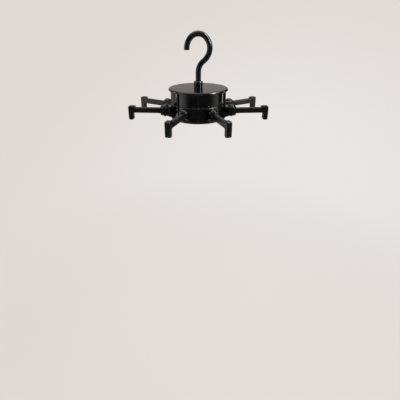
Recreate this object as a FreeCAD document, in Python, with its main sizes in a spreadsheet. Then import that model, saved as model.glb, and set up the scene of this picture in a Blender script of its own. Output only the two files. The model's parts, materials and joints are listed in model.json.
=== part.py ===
import FreeCAD, Part
import math
import os
import Sketcher
from FreeCAD import Placement, Rotation, Vector

# Rotating hanger: a rod hook carries a round hub, and eight bars swing on pins in the hub's forks.
# Frame: origin where the hook bears on a closet rod, +Z up, hook in the XZ plane, rod along Y.

doc = FreeCAD.newDocument("rotating_hanger")
sheet = doc.addObject("Spreadsheet::Sheet", "dims")


class Size:
    """A length that knows its value and the spreadsheet expression that drives it."""

    def __init__(self, value, text):
        self.value = value
        self.text = text

    def __add__(self, other):
        other = as_size(other)
        return Size(self.value + other.value, "(%s + %s)" % (self.text, other.text))

    def __sub__(self, other):
        other = as_size(other)
        return Size(self.value - other.value, "(%s - %s)" % (self.text, other.text))

    def __mul__(self, other):
        other = as_size(other)
        return Size(self.value * other.value, "(%s * %s)" % (self.text, other.text))

    def __truediv__(self, other):
        other = as_size(other)
        return Size(self.value / other.value, "(%s / %s)" % (self.text, other.text))

    def __neg__(self):
        return Size(-self.value, "(0 - %s)" % self.text)


def as_size(value):
    """A plain number as a size."""
    return value if isinstance(value, Size) else Size(value, repr(value))


ROWS = []


def size(alias, value, note):
    """Enters a driving dimension in the spreadsheet and returns it as a size."""
    row = len(ROWS) + 1
    ROWS.append(alias)
    sheet.set("A%d" % row, note)
    sheet.set("B%d" % row, str(value))
    sheet.setAlias("B%d" % row, alias)
    return Size(value, "dims." + alias)


# Driving dimensions in millimetres

rod_r = size("rod_r", 5.5, "hook rod radius")
mouth_half = size("mouth_half", 17.0, "half the clear width inside the hook")
tip_drop = size("tip_drop", 3.6, "straight end of the hook tip below its widest level")
tip_round = size("tip_round", 1.6, "rounding of the hook tip")
thread_r = size("thread_r", 4.0, "threaded stem end radius")

collar_r = size("collar_r", 9.2, "stem collar radius")
collar_len = size("collar_len", 12.8, "stem collar height")
collar_foot = size("collar_foot", 1.8, "height of the collar's foot flange")
collar_waist = size("collar_waist", 1.0, "height of the collar's waist groove")
waist_cut = size("waist_cut", 1.1, "depth of the collar's waist groove")

cover_top = size("cover_top", 97.6, "depth of the cover's top face")
cover_lip = size("cover_lip", 4.0, "reach of the top cover past the drum")
cover_t = size("cover_t", 4.5, "top cover thickness")
rim_round = size("rim_round", 3.0, "rounding of the cover's top rim")
rim_foot_round = size("rim_foot_round", 1.2, "rounding of the cover's lower rim")
boss_r = size("boss_r", 8.6, "centre boss radius on the cover")
boss_len = size("boss_len", 0.5, "centre boss height on the cover")
guide_r = size("guide_r", 10.6, "outer radius of the bush guides")
guide_len = size("guide_len", 15.0, "depth of the guide below the cover")

drum_r = size("drum_r", 57.0, "hub drum radius")
wall = size("wall", 2.6, "hub wall thickness")
drum_len = size("drum_len", 25.0, "hub housing height")
groove_w = size("groove_w", 0.8, "width of the groove between housing and ring")
groove_cut = size("groove_cut", 1.0, "depth of the groove between housing and ring")
groove_bevel = size("groove_bevel", 0.6, "bevel of the two edges beside the groove")
spigot_len = size("spigot_len", 4.0, "length of the locating lips")
spigot_t = size("spigot_t", 2.4, "thickness of the locating lips")
seat_gap = size("seat_gap", 0.1, "clearance of fixed seats")
hub_rib_t = size("hub_rib_t", 1.6, "housing rib thickness")
hub_rib_out = size("hub_rib_out", 2.2, "housing rib height")

ring_len = size("ring_len", 27.2, "arm ring height below the groove")
deck_t = size("deck_t", 3.5, "arm ring deck thickness")
deck_rib_t = size("deck_rib_t", 2.0, "deck rib thickness")
deck_rib_len = size("deck_rib_len", 8.0, "deck rib depth")
hub_boss_len = size("hub_boss_len", 17.0, "depth of the ring's centre boss below the deck top")
base_t = size("base_t", 4.0, "bottom cover thickness")
base_skin = size("base_skin", 2.6, "bottom cover floor thickness")
base_round = size("base_round", 1.5, "rounding of the bottom edge")
base_dish_r = size("base_dish_r", 30.0, "radius of the shallow dish in the bottom")
base_dish = size("base_dish", 0.8, "depth of the shallow dish in the bottom")

bush_t = size("bush_t", 2.0, "bush wall thickness")
bush_flange = size("bush_flange", 2.5, "bush flange width")
bush_flange_t = size("bush_flange_t", 2.0, "bush flange thickness")
run_gap = size("run_gap", 0.05, "running clearance of shafts")
face_gap = size("face_gap", 0.3, "clearance between faces that turn past each other")
washer_r = size("washer_r", 10.5, "thrust washer radius")
washer_t = size("washer_t", 1.5, "thrust washer thickness")
nut_flats = size("nut_flats", 13.0, "lock nut width across flats")
nut_t = size("nut_t", 6.5, "lock nut height")

screw_set = size("screw_set", 14.0, "hub screw axis inside the drum face")
screw_r = size("screw_r", 1.5, "hub screw shank radius")
screw_head_r = size("screw_head_r", 3.0, "hub screw head radius")
screw_head_t = size("screw_head_t", 2.2, "hub screw head height")
screw_post_r = size("screw_post_r", 4.0, "screw post radius")
screw_len = size("screw_len", 14.0, "hub screw shank length")

HOOK_LEAN_DEG = 48.0
ARM_COUNT = 8
SCREW_COUNT = 4
FIRST_ARM_DEG = 180.0 / ARM_COUNT
ARM_STEP_DEG = 360.0 / ARM_COUNT

# Swing of each bar at rest, in degrees from straight out: the bars hang free and stand a little apart.
REST_SWING_DEG = (8.5, 0.0, 0.0, -8.5, -26.0, 3.5, -3.5, 26.0)

pin_set = size("pin_set", 15.0, "arm pin axis outside the drum face")
pin_r = size("pin_r", 2.5, "arm pin shank radius")
pin_head_r = size("pin_head_r", 7.0, "arm pin head radius")
pin_head_t = size("pin_head_t", 4.2, "arm pin dome height")
pin_lip = size("pin_lip", 1.2, "straight edge of the pin head")
pin_tail = size("pin_tail", 3.4, "pin length below the fork")
clip_r = size("clip_r", 4.6, "retaining clip radius")
clip_t = size("clip_t", 0.8, "retaining clip thickness")

fork_r = size("fork_r", 9.5, "half width and end radius of the forks")
fork_drop = size("fork_drop", 2.3, "depth of the fork tops below the groove")
fork_t = size("fork_t", 3.0, "fork plate thickness")
fork_round = size("fork_round", 0.9, "rounding of the fork's top rim")
gusset_t = size("gusset_t", 2.2, "gusset thickness")
gusset_len = size("gusset_len", 7.2, "gusset depth at the drum")
gusset_out = size("gusset_out", 16.0, "gusset reach from the drum")

arm_len = size("arm_len", 74.0, "arm length from pin to tip")
bar_h = size("bar_h", 10.0, "arm bar height")
bar_w = size("bar_w", 9.6, "arm bar width")
eye_w = size("eye_w", 12.0, "arm eye width")
heel = size("heel", 7.0, "arm heel reach behind the pin")
web_reach = size("web_reach", 9.15, "pin to fork web, where the heel stops the swing")
eye_len = size("eye_len", 2.0, "arm eye length in front of the pin")
taper_len = size("taper_len", 9.5, "end of the eye's taper in front of the pin")
nub_len = size("nub_len", 14.0, "length of the raised nub at the tip")
nub_h = size("nub_h", 3.8, "height of the raised nub at the tip")
tab_t = size("tab_t", 10.0, "drop tab thickness along the arm")
tab_len = size("tab_len", 14.6, "drop tab length below the bar")
tab_round = size("tab_round", 3.2, "rounding of the tab foot")
nub_round = size("nub_round", 3.0, "rounding of the nub")
corner_round = size("corner_round", 2.0, "rounding where nub and tab meet the bar")
bar_round = size("bar_round", 1.1, "rounding of the bar edges")
core_w = size("core_w", 4.6, "width of the cored channel under the bar")
core_depth = size("core_depth", 5.5, "depth of the cored channel under the bar")
core_rib_t = size("core_rib_t", 1.6, "thickness of the ribs in the cored channel")
CORE_RIBS = 4
grip_w = size("grip_w", 6.0, "grip strip width")
grip_depth = size("grip_depth", 1.2, "depth of the grip strip's seat")
grip_proud = size("grip_proud", 0.4, "height of the grip strip above the bar")
grip_start = size("grip_start", 12.0, "start of the grip strip in front of the pin")
grip_end_gap = size("grip_end_gap", 2.5, "bar left between grip strip and nub")

# Levels, all downward from the hook's seat

ZERO = Size(0.0, "0")
z_cover = -cover_top
z_boss = z_cover + boss_len
z_collar_foot = z_boss + face_gap
z_collar_top = z_collar_foot + collar_len
z_housing = z_cover - cover_t
z_deck = z_housing - drum_len
z_ring = z_deck - groove_w
z_ring_foot = z_ring - ring_len
z_base = z_ring_foot - base_t
z_deck_under = z_deck - deck_t
z_hub_boss = z_deck - hub_boss_len
z_flange = z_hub_boss - bush_flange_t
z_washer = z_flange - face_gap
z_nut = z_washer - washer_t
z_nut_foot = z_nut - nut_t
z_stem_end = z_nut_foot - 0.4
z_fork_top = z_ring - fork_drop
z_slot_top = z_fork_top - fork_t
z_bar_top = z_slot_top - face_gap
z_bar_foot = z_bar_top - bar_h
z_slot_foot = z_bar_foot - face_gap
z_fork_foot = z_slot_foot - fork_t
z_grip_seat = z_bar_top - grip_depth

cover_r = drum_r + cover_lip
inner_r = drum_r - wall
lip_r = inner_r - seat_gap
bush_in_r = rod_r + run_gap
bush_out_r = bush_in_r + bush_t
bush_seat_r = bush_out_r + seat_gap / 2
screw_circle_r = drum_r - screw_set
pin_circle_r = drum_r + pin_set
grip_end = arm_len - nub_len - grip_end_gap


# Sketch and feature helpers


def part_body(label):
    """An empty body for one sub-part."""
    body = doc.addObject("PartDesign::Body", label)
    body.Label = label
    return body


def datum(body, role):
    """One of the body's own base planes or axes."""
    return next(item for item in body.Origin.OriginFeatures if item.Role == role)


def new_sketch(body, name, plane, lift=None):
    """A sketch on a base plane, moved along the plane's normal by lift."""
    sketch = body.newObject("Sketcher::SketchObject", body.Label + "_" + name)
    sketch.AttachmentSupport = [(datum(body, plane), "")]
    sketch.MapMode = "FlatFace"
    if lift is not None:
        sketch.AttachmentOffset = Placement(Vector(0, 0, lift.value), Rotation())
        sketch.setExpression("AttachmentOffset.Base.z", lift.text)
    return sketch


def tie(sketch, kind, geometry, point, length):
    """Ties one coordinate of a sketch point to a size."""
    if length.value == 0.0:
        axis = -2 if kind == "DistanceX" else -1
        sketch.addConstraint(Sketcher.Constraint("PointOnObject", geometry, point, axis))
        return
    index = sketch.addConstraint(Sketcher.Constraint(kind, -1, 1, geometry, point, length.value))
    sketch.setExpression("Constraints[%d]" % index, length.text)


def tie_radius(sketch, geometry, length):
    """Ties the radius of a circle or arc to a size."""
    index = sketch.addConstraint(Sketcher.Constraint("Radius", geometry, length.value))
    sketch.setExpression("Constraints[%d]" % index, length.text)


def outline(body, name, plane, points, lift=None):
    """A closed straight-edged sketch with every corner tied to sizes."""
    sketch = new_sketch(body, name, plane, lift)
    count = len(points)
    corners = [Vector(x.value, y.value, 0) for x, y in points]
    for i in range(count):
        sketch.addGeometry(Part.LineSegment(corners[i], corners[(i + 1) % count]), False)
    for i in range(count):
        sketch.addConstraint(Sketcher.Constraint("Coincident", i, 2, (i + 1) % count, 1))
    for i, (x, y) in enumerate(points):
        tie(sketch, "DistanceX", i, 1, x)
        tie(sketch, "DistanceY", i, 1, y)
    return sketch


def box_outline(body, name, plane, x0, x1, y0, y1, lift=None):
    """A rectangle sketch."""
    return outline(body, name, plane, [(x0, y0), (x1, y0), (x1, y1), (x0, y1)], lift)


def circle(body, name, x, radius, lift):
    """A circle sketch on a level plane, with its centre on the X axis."""
    sketch = new_sketch(body, name, "XY_Plane", lift)
    sketch.addGeometry(Part.Circle(Vector(x.value, 0, 0), Vector(0, 0, 1), radius.value), False)
    tie(sketch, "DistanceX", 0, 3, x)
    tie(sketch, "DistanceY", 0, 3, ZERO)
    tie_radius(sketch, 0, radius)
    return sketch


def add_feature(body, kind, name):
    """A feature at the body's tip."""
    return body.newObject("PartDesign::" + kind, body.Label + "_" + name)


def extrude(body, kind, sketch, length, down=False, middle=False):
    """A pad or pocket of a sketch, upward unless down is set."""
    feature = add_feature(body, kind, kind.lower() + "_" + sketch.Name)
    feature.Profile = sketch
    feature.Length = length.value
    feature.setExpression("Length", length.text)
    feature.Reversed = down if kind == "Pad" else not down
    if middle:
        feature.SideType = "Symmetric"
    return feature


def revolve(body, sketch):
    """A full turn of a sketch round its own upright axis."""
    feature = add_feature(body, "Revolution", "turn_" + sketch.Name)
    feature.Profile = sketch
    feature.ReferenceAxis = (sketch, ["V_Axis"])
    feature.Angle = 360.0
    return feature


def polar(body, features, count):
    """Repeats features round the Z axis."""
    pattern = add_feature(body, "PolarPattern", "ring_of_" + features[0].Name)
    pattern.Originals = features
    pattern.Axis = (datum(body, "Z_Axis"), [""])
    pattern.Angle = 360.0
    pattern.Occurrences = count
    body.Tip = pattern
    return pattern


def round_edges(body, name, radius, wanted):
    """Rounds the edges of the body's tip that the test picks."""
    doc.recompute()
    base = body.Tip
    names = ["Edge%d" % (i + 1) for i, edge in enumerate(base.Shape.Edges) if wanted(edge)]
    feature = add_feature(body, "Fillet", name)
    feature.Base = (base, names)
    feature.Radius = radius.value
    feature.setExpression("Radius", radius.text)
    return feature


def near(a, b):
    """True when two lengths agree."""
    return abs(a - b) < 1e-4


def rim_at(radius, level):
    """Edge test: a circle or arc of this radius at this height."""

    def test(edge):
        curve = edge.Curve
        if not isinstance(curve, Part.Circle):
            return False
        return near(curve.Radius, radius.value) and near(curve.Center.z, level.value)

    return test


def runs_along(edge, axis):
    """True for a straight edge along the given axis."""
    if not isinstance(edge.Curve, Part.Line):
        return False
    return abs(edge.tangentAt(edge.FirstParameter).dot(axis)) > 0.9999


# The hook and what turns with it


def make_hook():
    """Bent rod: blunt tip, tall bend of three arcs, leaning neck, stem and threaded end."""
    body = part_body("hook")
    half_w = mouth_half + rod_r
    crown_r = half_w * 0.865
    side_r = half_w * 1.325
    neck_r = half_w * 1.19
    path = new_sketch(body, "path", "XZ_Plane")
    draw_hook_path(path, half_w, crown_r, side_r, neck_r)
    tie(path, "DistanceX", 2, 3, ZERO)
    tie(path, "DistanceY", 2, 3, rod_r - crown_r)
    tie_radius(path, 2, crown_r)
    for arc, middle in ((1, side_r - half_w), (3, half_w - side_r)):
        tie(path, "DistanceX", arc, 3, middle)
        tie_radius(path, arc, side_r)
    drop = path.addConstraint(Sketcher.Constraint("Distance", 0, tip_drop.value))
    path.setExpression("Constraints[%d]" % drop, tip_drop.text)
    tie_radius(path, 5, neck_r)
    tie(path, "DistanceX", 6, 1, ZERO)
    tie(path, "DistanceX", 6, 2, ZERO)
    tie(path, "DistanceY", 6, 2, z_nut)
    rod = add_feature(body, "AdditivePipe", "rod")
    rod.Profile = circle(body, "section", ZERO, rod_r, z_nut)
    rod.Spine = (path, ["Edge%d" % number for number in range(7, 0, -1)])

    def tip_edge(edge):
        if not isinstance(edge.Curve, Part.Circle):
            return False
        return edge.isClosed() and near(edge.Curve.Center.x, -half_w.value)

    extrude(body, "Pad", circle(body, "thread", ZERO, thread_r, z_nut), z_nut - z_stem_end, down=True)
    doc.recompute()
    tip_z = min(edge.Curve.Center.z for edge in body.Tip.Shape.Edges if tip_edge(edge))
    round_edges(body, "tip", tip_round, lambda edge: tip_edge(edge) and near(edge.Curve.Center.z, tip_z))
    return body


def draw_hook_path(path, half_w, crown_r, side_r, neck_r):
    """The centre line: tip, left side, crown, right side, leaning straight, neck arc and stem."""
    lean = math.radians(HOOK_LEAN_DEG)
    reach = (side_r - crown_r).value
    turn = math.acos((side_r - half_w).value / reach)
    crown = Vector(0, (rod_r - crown_r).value, 0)
    wide_y = crown.y - reach * math.sin(turn)
    left = Vector((side_r - half_w).value, wide_y, 0)
    right = Vector((half_w - side_r).value, wide_y, 0)
    bend_end = right + Vector(math.cos(lean), -math.sin(lean), 0) * side_r.value
    straight = (bend_end.x - neck_r.value * (1.0 - math.cos(lean))) / math.sin(lean)
    neck_top = bend_end - Vector(math.sin(lean), math.cos(lean), 0) * straight
    neck = neck_top + Vector(math.cos(lean), -math.sin(lean), 0) * neck_r.value
    tip_x = -half_w.value
    up = Vector(0, 0, 1)
    arcs = {
        1: (left, side_r, math.pi - turn, math.pi),
        2: (crown, crown_r, turn, math.pi - turn),
        3: (right, side_r, -lean, turn),
        5: (neck, neck_r, math.pi - lean, math.pi),
    }
    lines = {
        0: (Vector(tip_x, wide_y - tip_drop.value, 0), Vector(tip_x, wide_y, 0)),
        4: (bend_end, neck_top),
        6: (Vector(0, neck.y, 0), Vector(0, z_nut.value, 0)),
    }
    for number in range(7):
        if number in lines:
            path.addGeometry(Part.LineSegment(*lines[number]), False)
        else:
            middle, radius, first, last = arcs[number]
            path.addGeometry(Part.ArcOfCircle(Part.Circle(middle, up, radius.value), first, last), False)
    bend_joins = ((0, 2, 1, 2), (1, 1, 2, 2), (2, 1, 3, 2))
    neck_joins = ((3, 1, 4, 1), (4, 2, 5, 1), (5, 2, 6, 1))
    for first, end, second, start in bend_joins + neck_joins:
        path.addConstraint(Sketcher.Constraint("Tangent", first, end, second, start))
    lean_line = neck_top - bend_end
    path.addConstraint(Sketcher.Constraint("Angle", 4, math.atan2(lean_line.y, lean_line.x)))


def make_collar():
    """Turned collar fixed on the rod, with a waist groove above its foot."""
    body = part_body("stem_collar")
    bore = rod_r + seat_gap / 2
    waist_r = collar_r - waist_cut
    z_foot = z_collar_foot + collar_foot
    z_waist = z_foot + collar_waist
    points = [
        (bore, z_collar_foot),
        (collar_r, z_collar_foot),
        (collar_r, z_foot),
        (waist_r, z_foot),
        (waist_r, z_waist),
        (collar_r, z_waist),
        (collar_r, z_collar_top),
        (bore, z_collar_top),
    ]
    revolve(body, outline(body, "profile", "XZ_Plane", points))
    round_edges(body, "crown", (collar_r - bore) * 0.9, rim_at(collar_r, z_collar_top))
    round_edges(body, "shoulder", collar_waist * 0.7, rim_at(collar_r, z_waist))
    return body


def make_washer():
    """Flat washer that carries the carousel."""
    body = part_body("thrust_washer")
    sketch = box_outline(body, "profile", "XZ_Plane", bush_in_r, washer_r, z_nut, z_washer)
    revolve(body, sketch)
    return body


def make_nut():
    """Hexagon lock nut on the threaded stem end."""
    body = part_body("lock_nut")
    half = nut_flats / 2
    corner = half * (2.0 / math.sqrt(3.0))
    points = [
        (corner, ZERO),
        (corner / 2, half),
        (-corner / 2, half),
        (-corner, ZERO),
        (-corner / 2, -half),
        (corner / 2, -half),
    ]
    extrude(body, "Pad", outline(body, "hexagon", "XY_Plane", points, z_nut), nut_t, down=True)
    bore = thread_r + seat_gap / 2
    extrude(body, "Pocket", circle(body, "bore", ZERO, bore, z_nut), nut_t, down=True)
    return body


# The hub, which turns on the stem


def make_cover():
    """Top disc with rounded rim, centre boss, bush guide, locating lip and screw posts."""
    body = part_body("top_cover")
    lip_in_r = lip_r - spigot_t
    points = [
        (bush_seat_r, z_boss),
        (boss_r, z_boss),
        (boss_r, z_cover),
        (cover_r, z_cover),
        (cover_r, z_housing),
        (lip_r, z_housing),
        (lip_r, z_housing - spigot_len),
        (lip_in_r, z_housing - spigot_len),
        (lip_in_r, z_housing),
        (guide_r, z_housing),
        (guide_r, z_housing - guide_len),
        (bush_seat_r, z_housing - guide_len),
    ]
    revolve(body, outline(body, "profile", "XZ_Plane", points))
    post_len = drum_len - seat_gap
    post = extrude(
        body, "Pad", circle(body, "post", screw_circle_r, screw_post_r, z_housing), post_len, down=True
    )
    polar(body, [post], SCREW_COUNT)
    pilot_r = screw_r + seat_gap / 2
    pilot = extrude(
        body, "Pocket", circle(body, "pilot", screw_circle_r, pilot_r, z_deck), drum_len - spigot_len
    )
    polar(body, [pilot], SCREW_COUNT)
    round_edges(body, "rim_top", rim_round, rim_at(cover_r, z_cover))
    round_edges(body, "rim_foot", rim_foot_round, rim_at(cover_r, z_housing))
    round_edges(body, "boss_rim", boss_len * 0.3, rim_at(boss_r, z_boss))
    return body


def make_housing():
    """Upper drum: a thin tube with ribs inside."""
    body = part_body("hub_housing")
    points = [
        (inner_r, z_deck),
        (drum_r - groove_bevel, z_deck),
        (drum_r, z_deck + groove_bevel),
        (drum_r, z_housing),
        (inner_r, z_housing),
    ]
    revolve(body, outline(body, "wall", "XZ_Plane", points))
    rib = extrude(
        body,
        "Pad",
        box_outline(
            body,
            "rib",
            "XZ_Plane",
            inner_r - hub_rib_out,
            inner_r + wall / 2,
            z_deck + spigot_len + 1.0,
            z_housing - spigot_len - 1.0,
        ),
        hub_rib_t,
        middle=True,
    )
    polar(body, [rib], ARM_COUNT)
    return body


def make_ring():
    """Lower drum with deck, centre boss, deck ribs and a gusseted two-plate fork for each arm."""
    body = part_body("arm_ring")
    lip_in_r = lip_r - spigot_t
    land_r = drum_r - groove_cut
    points = [
        (bush_seat_r, z_deck),
        (lip_in_r, z_deck),
        (lip_in_r, z_deck + spigot_len),
        (lip_r, z_deck + spigot_len),
        (lip_r, z_deck),
        (land_r, z_deck),
        (land_r, z_ring),
        (drum_r - groove_bevel, z_ring),
        (drum_r, z_ring - groove_bevel),
        (drum_r, z_ring_foot),
        (inner_r, z_ring_foot),
        (inner_r, z_deck_under),
        (guide_r, z_deck_under),
        (guide_r, z_hub_boss),
        (bush_seat_r, z_hub_boss),
    ]
    revolve(body, outline(body, "profile", "XZ_Plane", points))
    hole = extrude(
        body,
        "Pocket",
        circle(body, "screw_hole", screw_circle_r, screw_r + face_gap, z_deck),
        deck_t,
        down=True,
    )
    polar(body, [hole], SCREW_COUNT)
    make_deck_ribs(body)
    make_forks(body)
    round_edges(body, "fork_rims", fork_round, rim_at(fork_r, z_fork_top))
    body.Placement = Placement(Vector(), Rotation(Vector(0, 0, 1), FIRST_ARM_DEG))
    return body


def make_deck_ribs(body):
    """Radial ribs under the deck, halfway between the forks."""
    sketch = box_outline(
        body,
        "deck_rib",
        "XZ_Plane",
        guide_r - 1.0,
        inner_r + wall / 2,
        z_deck_under - deck_rib_len,
        z_deck_under + deck_t / 2,
    )
    turn = Rotation(Vector(0, 1, 0), FIRST_ARM_DEG)
    sketch.AttachmentOffset = Placement(Vector(), turn)
    rib = extrude(body, "Pad", sketch, deck_rib_t, middle=True)
    polar(body, [rib], ARM_COUNT)


def make_forks(body):
    """Forks: a round-ended block, its slot, the pin hole and two gussets, repeated round the drum."""
    root_x = drum_r - wall / 2
    plan = new_sketch(body, "fork_plan", "XY_Plane", z_fork_top)
    inner = root_x.value
    pin_x = pin_circle_r.value
    half = fork_r.value
    arc = Part.ArcOfCircle(Part.Circle(Vector(pin_x, 0, 0), Vector(0, 0, 1), half), -math.pi / 2, math.pi / 2)
    plan.addGeometry(arc, False)
    plan.addGeometry(Part.LineSegment(Vector(pin_x, half, 0), Vector(inner, half, 0)), False)
    plan.addGeometry(Part.LineSegment(Vector(inner, half, 0), Vector(inner, -half, 0)), False)
    plan.addGeometry(Part.LineSegment(Vector(inner, -half, 0), Vector(pin_x, -half, 0)), False)
    plan.addConstraint(Sketcher.Constraint("Tangent", 0, 2, 1, 1))
    plan.addConstraint(Sketcher.Constraint("Coincident", 1, 2, 2, 1))
    plan.addConstraint(Sketcher.Constraint("Coincident", 2, 2, 3, 1))
    plan.addConstraint(Sketcher.Constraint("Tangent", 3, 2, 0, 1))
    plan.addConstraint(Sketcher.Constraint("Horizontal", 1))
    plan.addConstraint(Sketcher.Constraint("Vertical", 2))
    tie(plan, "DistanceX", 0, 3, pin_circle_r)
    tie(plan, "DistanceY", 0, 3, ZERO)
    tie_radius(plan, 0, fork_r)
    tie(plan, "DistanceX", 2, 1, root_x)
    block = extrude(body, "Pad", plan, z_fork_top - z_fork_foot, down=True)
    web_x = pin_circle_r - web_reach
    slot_end = pin_circle_r + fork_r + 1.0
    slot_half = fork_r + 1.0
    slot_plan = box_outline(body, "slot", "XY_Plane", web_x, slot_end, -slot_half, slot_half, z_slot_top)
    slot = extrude(body, "Pocket", slot_plan, z_slot_top - z_slot_foot, down=True)
    bore_plan = circle(body, "pin_bore", pin_circle_r, pin_r + run_gap, z_fork_top)
    bore = extrude(body, "Pocket", bore_plan, z_fork_top - z_fork_foot, down=True)
    features = [block, slot, bore]
    for side, name in ((1.0, "gusset_left"), (-1.0, "gusset_right")):
        shift = (fork_r - gusset_t) * side
        points = [
            (root_x, z_fork_foot + fork_t / 2),
            (drum_r + gusset_out, z_fork_foot + fork_t / 2),
            (drum_r + gusset_out, z_fork_foot),
            (drum_r, z_fork_foot - gusset_len),
            (root_x, z_fork_foot - gusset_len),
        ]
        plate = extrude(body, "Pad", outline(body, name, "XZ_Plane", points, shift), gusset_t, middle=True)
        features.append(plate)
    polar(body, features, ARM_COUNT)


def make_bush(label, top, foot, flange):
    """Plain bush that runs on the stem; a flange at its foot takes the load where wanted."""
    body = part_body(label)
    points = [(bush_in_r, top), (bush_out_r, top), (bush_out_r, foot)]
    if flange:
        flange_r = bush_out_r + bush_flange
        points += [(flange_r, foot), (flange_r, foot - bush_flange_t), (bush_in_r, foot - bush_flange_t)]
    else:
        points += [(bush_in_r, foot)]
    revolve(body, outline(body, "profile", "XZ_Plane", points))
    return body


def make_base():
    """Bottom cover: a flat plate with a locating lip and a shallow dish underneath."""
    body = part_body("bottom_cover")
    lip_in_r = lip_r - spigot_t
    z_floor = z_base + base_skin
    points = [
        (ZERO, z_base + base_dish),
        (base_dish_r, z_base + base_dish),
        (base_dish_r, z_base),
        (drum_r, z_base),
        (drum_r, z_ring_foot),
        (lip_r, z_ring_foot),
        (lip_r, z_ring_foot + spigot_len),
        (lip_in_r, z_ring_foot + spigot_len),
        (lip_in_r, z_floor),
        (ZERO, z_floor),
    ]
    revolve(body, outline(body, "profile", "XZ_Plane", points))
    round_edges(body, "edge", base_round, rim_at(drum_r, z_base))
    return body


def make_turned_set(label, points, circle_r, count):
    """A set of equal turned pieces: the profile runs round an upright axis on the given circle."""
    body = part_body(label)
    body.AllowCompound = True
    sketch = outline(body, "profile", "XZ_Plane", points)
    sketch.AttachmentOffset = Placement(Vector(circle_r.value, 0, 0), Rotation())
    sketch.setExpression("AttachmentOffset.Base.x", circle_r.text)
    piece = revolve(body, sketch)
    polar(body, [piece], count)
    body.Placement = Placement(Vector(), Rotation(Vector(0, 0, 1), FIRST_ARM_DEG))
    return body


def make_screws():
    """Hub screws, driven from below through the deck into the cover's posts."""
    points = [
        (ZERO, z_deck_under - screw_head_t),
        (screw_head_r, z_deck_under - screw_head_t),
        (screw_head_r, z_deck_under),
        (screw_r, z_deck_under),
        (screw_r, z_deck_under + screw_len),
        (ZERO, z_deck_under + screw_len),
    ]
    body = make_turned_set("hub_screws", points, screw_circle_r, SCREW_COUNT)
    return body


def make_pins():
    """Arm pins with domed heads above the forks."""
    z_lip = z_fork_top + pin_lip
    z_tail = z_fork_foot - pin_tail
    points = [
        (ZERO, z_tail),
        (pin_r, z_tail),
        (pin_r, z_fork_top),
        (pin_head_r, z_fork_top),
        (pin_head_r, z_lip),
        (ZERO, z_fork_top + pin_head_t),
    ]
    body = part_body("arm_pins")
    body.AllowCompound = True
    sketch = outline(body, "profile", "XZ_Plane", points)
    sketch.AttachmentOffset = Placement(Vector(pin_circle_r.value, 0, 0), Rotation())
    sketch.setExpression("AttachmentOffset.Base.x", pin_circle_r.text)
    crown(sketch, 4, pin_head_r, pin_head_t - pin_lip)
    piece = revolve(body, sketch)
    polar(body, [piece], ARM_COUNT)
    body.Placement = Placement(Vector(), Rotation(Vector(0, 0, 1), FIRST_ARM_DEG))
    return body


def crown(sketch, edge, half_chord, rise):
    """Swaps a slanting edge of a profile for the arc of a dome that is level on the axis."""
    start = sketch.Geometry[edge].StartPoint
    end = sketch.Geometry[edge].EndPoint
    sphere_r = (half_chord * half_chord + rise * rise) / (rise * 2.0)
    centre = Vector(0, end.y - sphere_r.value, 0)
    sketch.toggleConstruction(edge)
    first = math.atan2(start.y - centre.y, start.x)
    ring = Part.Circle(centre, Vector(0, 0, 1), sphere_r.value)
    arc = sketch.addGeometry(Part.ArcOfCircle(ring, first, math.pi / 2), False)
    sketch.addConstraint(Sketcher.Constraint("Coincident", arc, 1, edge, 1))
    sketch.addConstraint(Sketcher.Constraint("Coincident", arc, 2, edge, 2))
    tie_radius(sketch, arc, sphere_r)


def make_clips():
    """Retaining clips on the pin tails."""
    bore = pin_r + run_gap
    points = [
        (bore, z_fork_foot - clip_t),
        (clip_r, z_fork_foot - clip_t),
        (clip_r, z_fork_foot),
        (bore, z_fork_foot),
    ]
    return make_turned_set("pin_clips", points, pin_circle_r, ARM_COUNT)


# The arms, each on its own pin


def set_on_pin(body, number):
    """Moves a body modelled at its pin to the numbered place on the pin circle, swung as it rests."""
    up = Vector(0, 0, 1)
    angle = FIRST_ARM_DEG + (number - 1) * ARM_STEP_DEG
    place = Rotation(up, angle).multVec(Vector(pin_circle_r.value, 0, 0))
    body.Placement = Placement(place, Rotation(up, angle + REST_SWING_DEG[number - 1]))
    body.setExpression("Placement.Base.x", "%s * cos(%r)" % (pin_circle_r.text, angle))
    body.setExpression("Placement.Base.y", "%s * sin(%r)" % (pin_circle_r.text, angle))


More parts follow.
